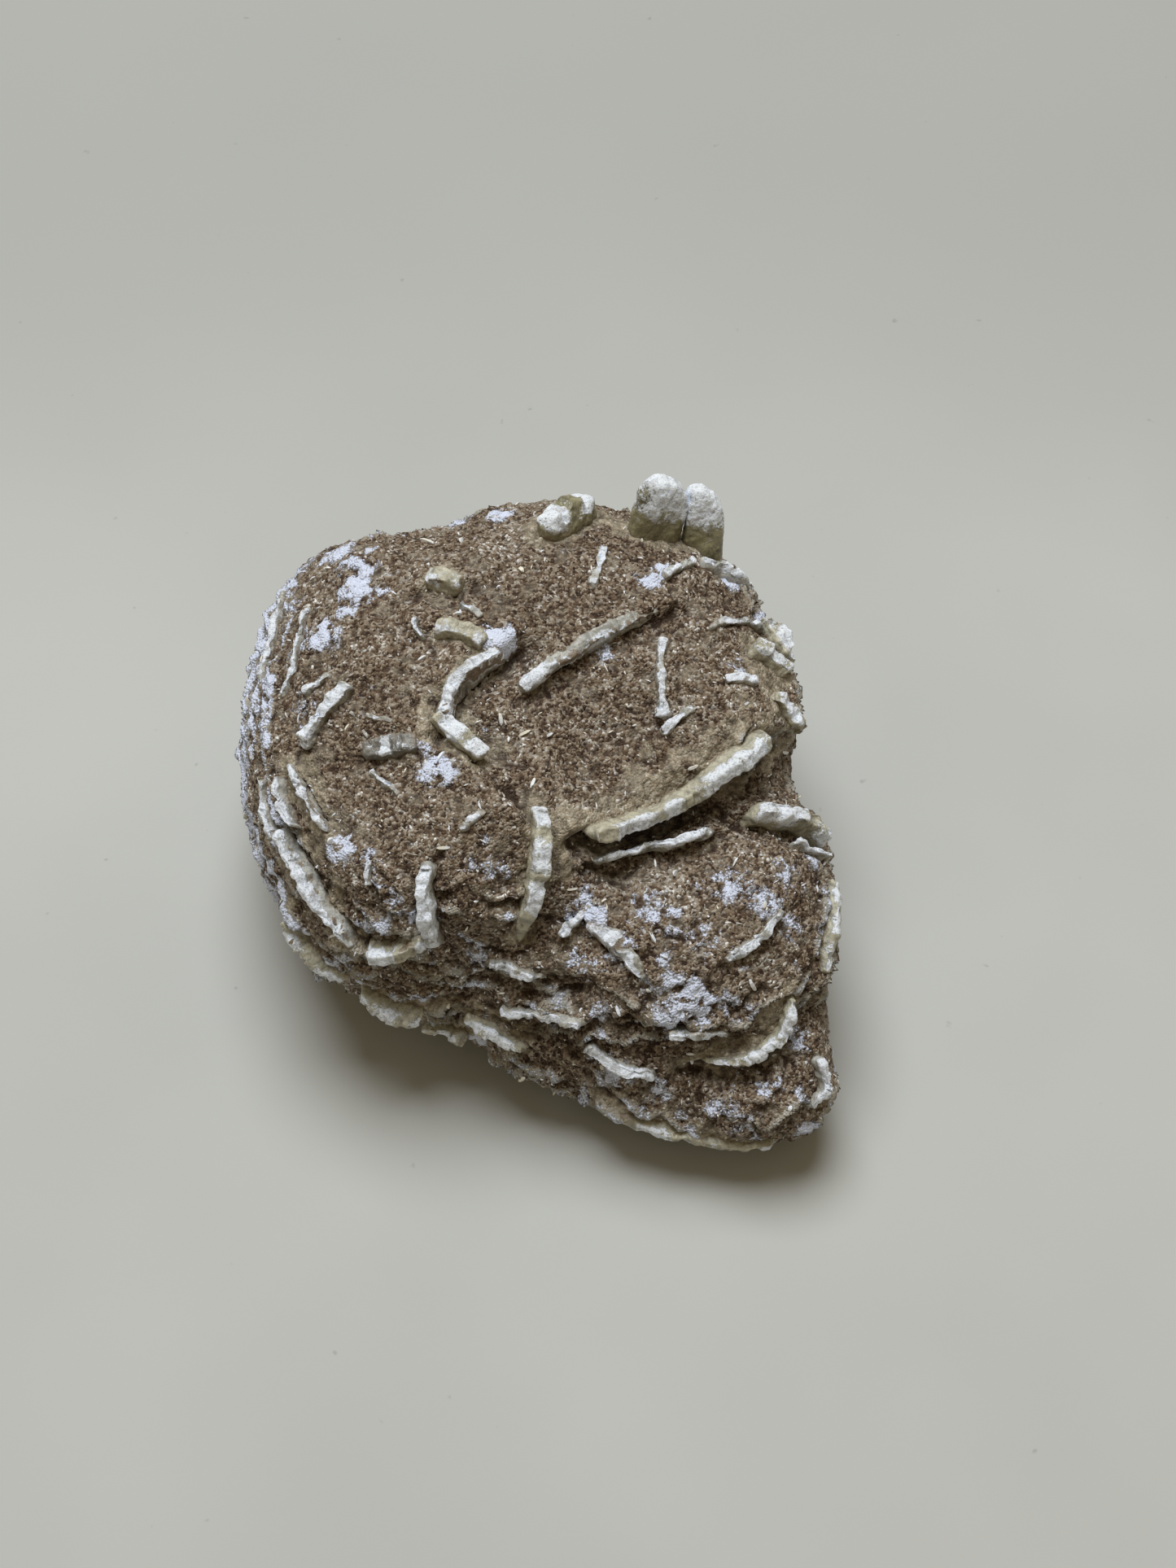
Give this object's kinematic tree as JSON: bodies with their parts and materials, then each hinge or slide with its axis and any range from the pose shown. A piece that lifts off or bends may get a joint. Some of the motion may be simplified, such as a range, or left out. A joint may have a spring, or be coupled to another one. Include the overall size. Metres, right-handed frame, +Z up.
{
  "type": "gypsum sand rose",
  "caption": "Palm-sized sand-filled gypsum lump with flat gypsum crystals standing out of a hollowed top, lying on a worn flat underside.",
  "frame": {"origin": "on the surface that the stone lies on, under the middle of its bounding box", "axes": "+Z up, -Y towards the narrow toe, +X to the right seen from the toe"},
  "size_m": [0.061, 0.0666, 0.0379],
  "materials": {
    "sandy_gypsum": "rough, sandy, dusted white in patches, tiny glints",
    "cream_gypsum": "translucent cream, cross-ribbed, satin with a frosted edge",
    "frosted_gypsum": "matt frosted white",
    "grey_gypsum": "translucent grey, satin",
    "olive_gypsum": "translucent olive with a white frosted tip"
  },
  "bodies": {
    "root": {"sand_mass": "sandy_gypsum", "centre_blade": "cream_gypsum", "main_ridge_blade": "cream_gypsum", "under_ridge_blade": "frosted_gypsum", "corner_blade_upper": "frosted_gypsum", "corner_blade_lower": "cream_gypsum", "long_ridge_blade": "frosted_gypsum", "curved_blade": "cream_gypsum", "hook_blade": "frosted_gypsum", "upright_blade": "frosted_gypsum", "short_cross_blade": "frosted_gypsum", "centre_splinter": "frosted_gypsum", "tooth_left": "olive_gypsum", "tooth_right": "olive_gypsum", "small_tooth": "olive_gypsum", "top_bar": "frosted_gypsum", "step_crystal": "cream_gypsum", "step_chip": "frosted_gypsum", "roof_blade_left": "frosted_gypsum", "roof_blade_right": "frosted_gypsum", "thin_cross_blade": "frosted_gypsum", "knob_upper": "cream_gypsum", "knob_middle": "cream_gypsum", "knob_back": "frosted_gypsum", "knob_lower": "cream_gypsum", "point_blade": "cream_gypsum", "point_splinter": "frosted_gypsum", "bar_upper": "frosted_gypsum", "bar_thin": "frosted_gypsum", "grey_bar": "grey_gypsum", "bar_lower": "frosted_gypsum", "left_arc_blade": "frosted_gypsum", "left_arc_splinter": "frosted_gypsum", "left_edge_inner": "frosted_gypsum", "left_edge_outer": "frosted_gypsum", "fan_rim_inner": "frosted_gypsum", "fan_rim_middle": "frosted_gypsum", "fan_rim_outer": "frosted_gypsum", "front_rim": "frosted_gypsum", "front_rim_end": "cream_gypsum", "front_upright": "frosted_gypsum", "front_splinter": "frosted_gypsum", "petal_left": "cream_gypsum", "petal_second": "cream_gypsum", "petal_third": "cream_gypsum", "petal_fourth": "cream_gypsum", "valley_rim": "frosted_gypsum", "valley_rim_lower": "frosted_gypsum", "oval_plate": "frosted_gypsum", "shoulder_ridge_left": "frosted_gypsum", "shoulder_ridge": "frosted_gypsum", "shoulder_edge": "cream_gypsum", "shoulder_rim": "cream_gypsum", "ledge_blade": "frosted_gypsum", "toe_band": "frosted_gypsum", "toe_arc": "frosted_gypsum", "toe_rim": "cream_gypsum", "back_rim_left": "cream_gypsum", "back_rim_right": "cream_gypsum", "left_side_rim": "cream_gypsum"}
  },
  "joints": []
}
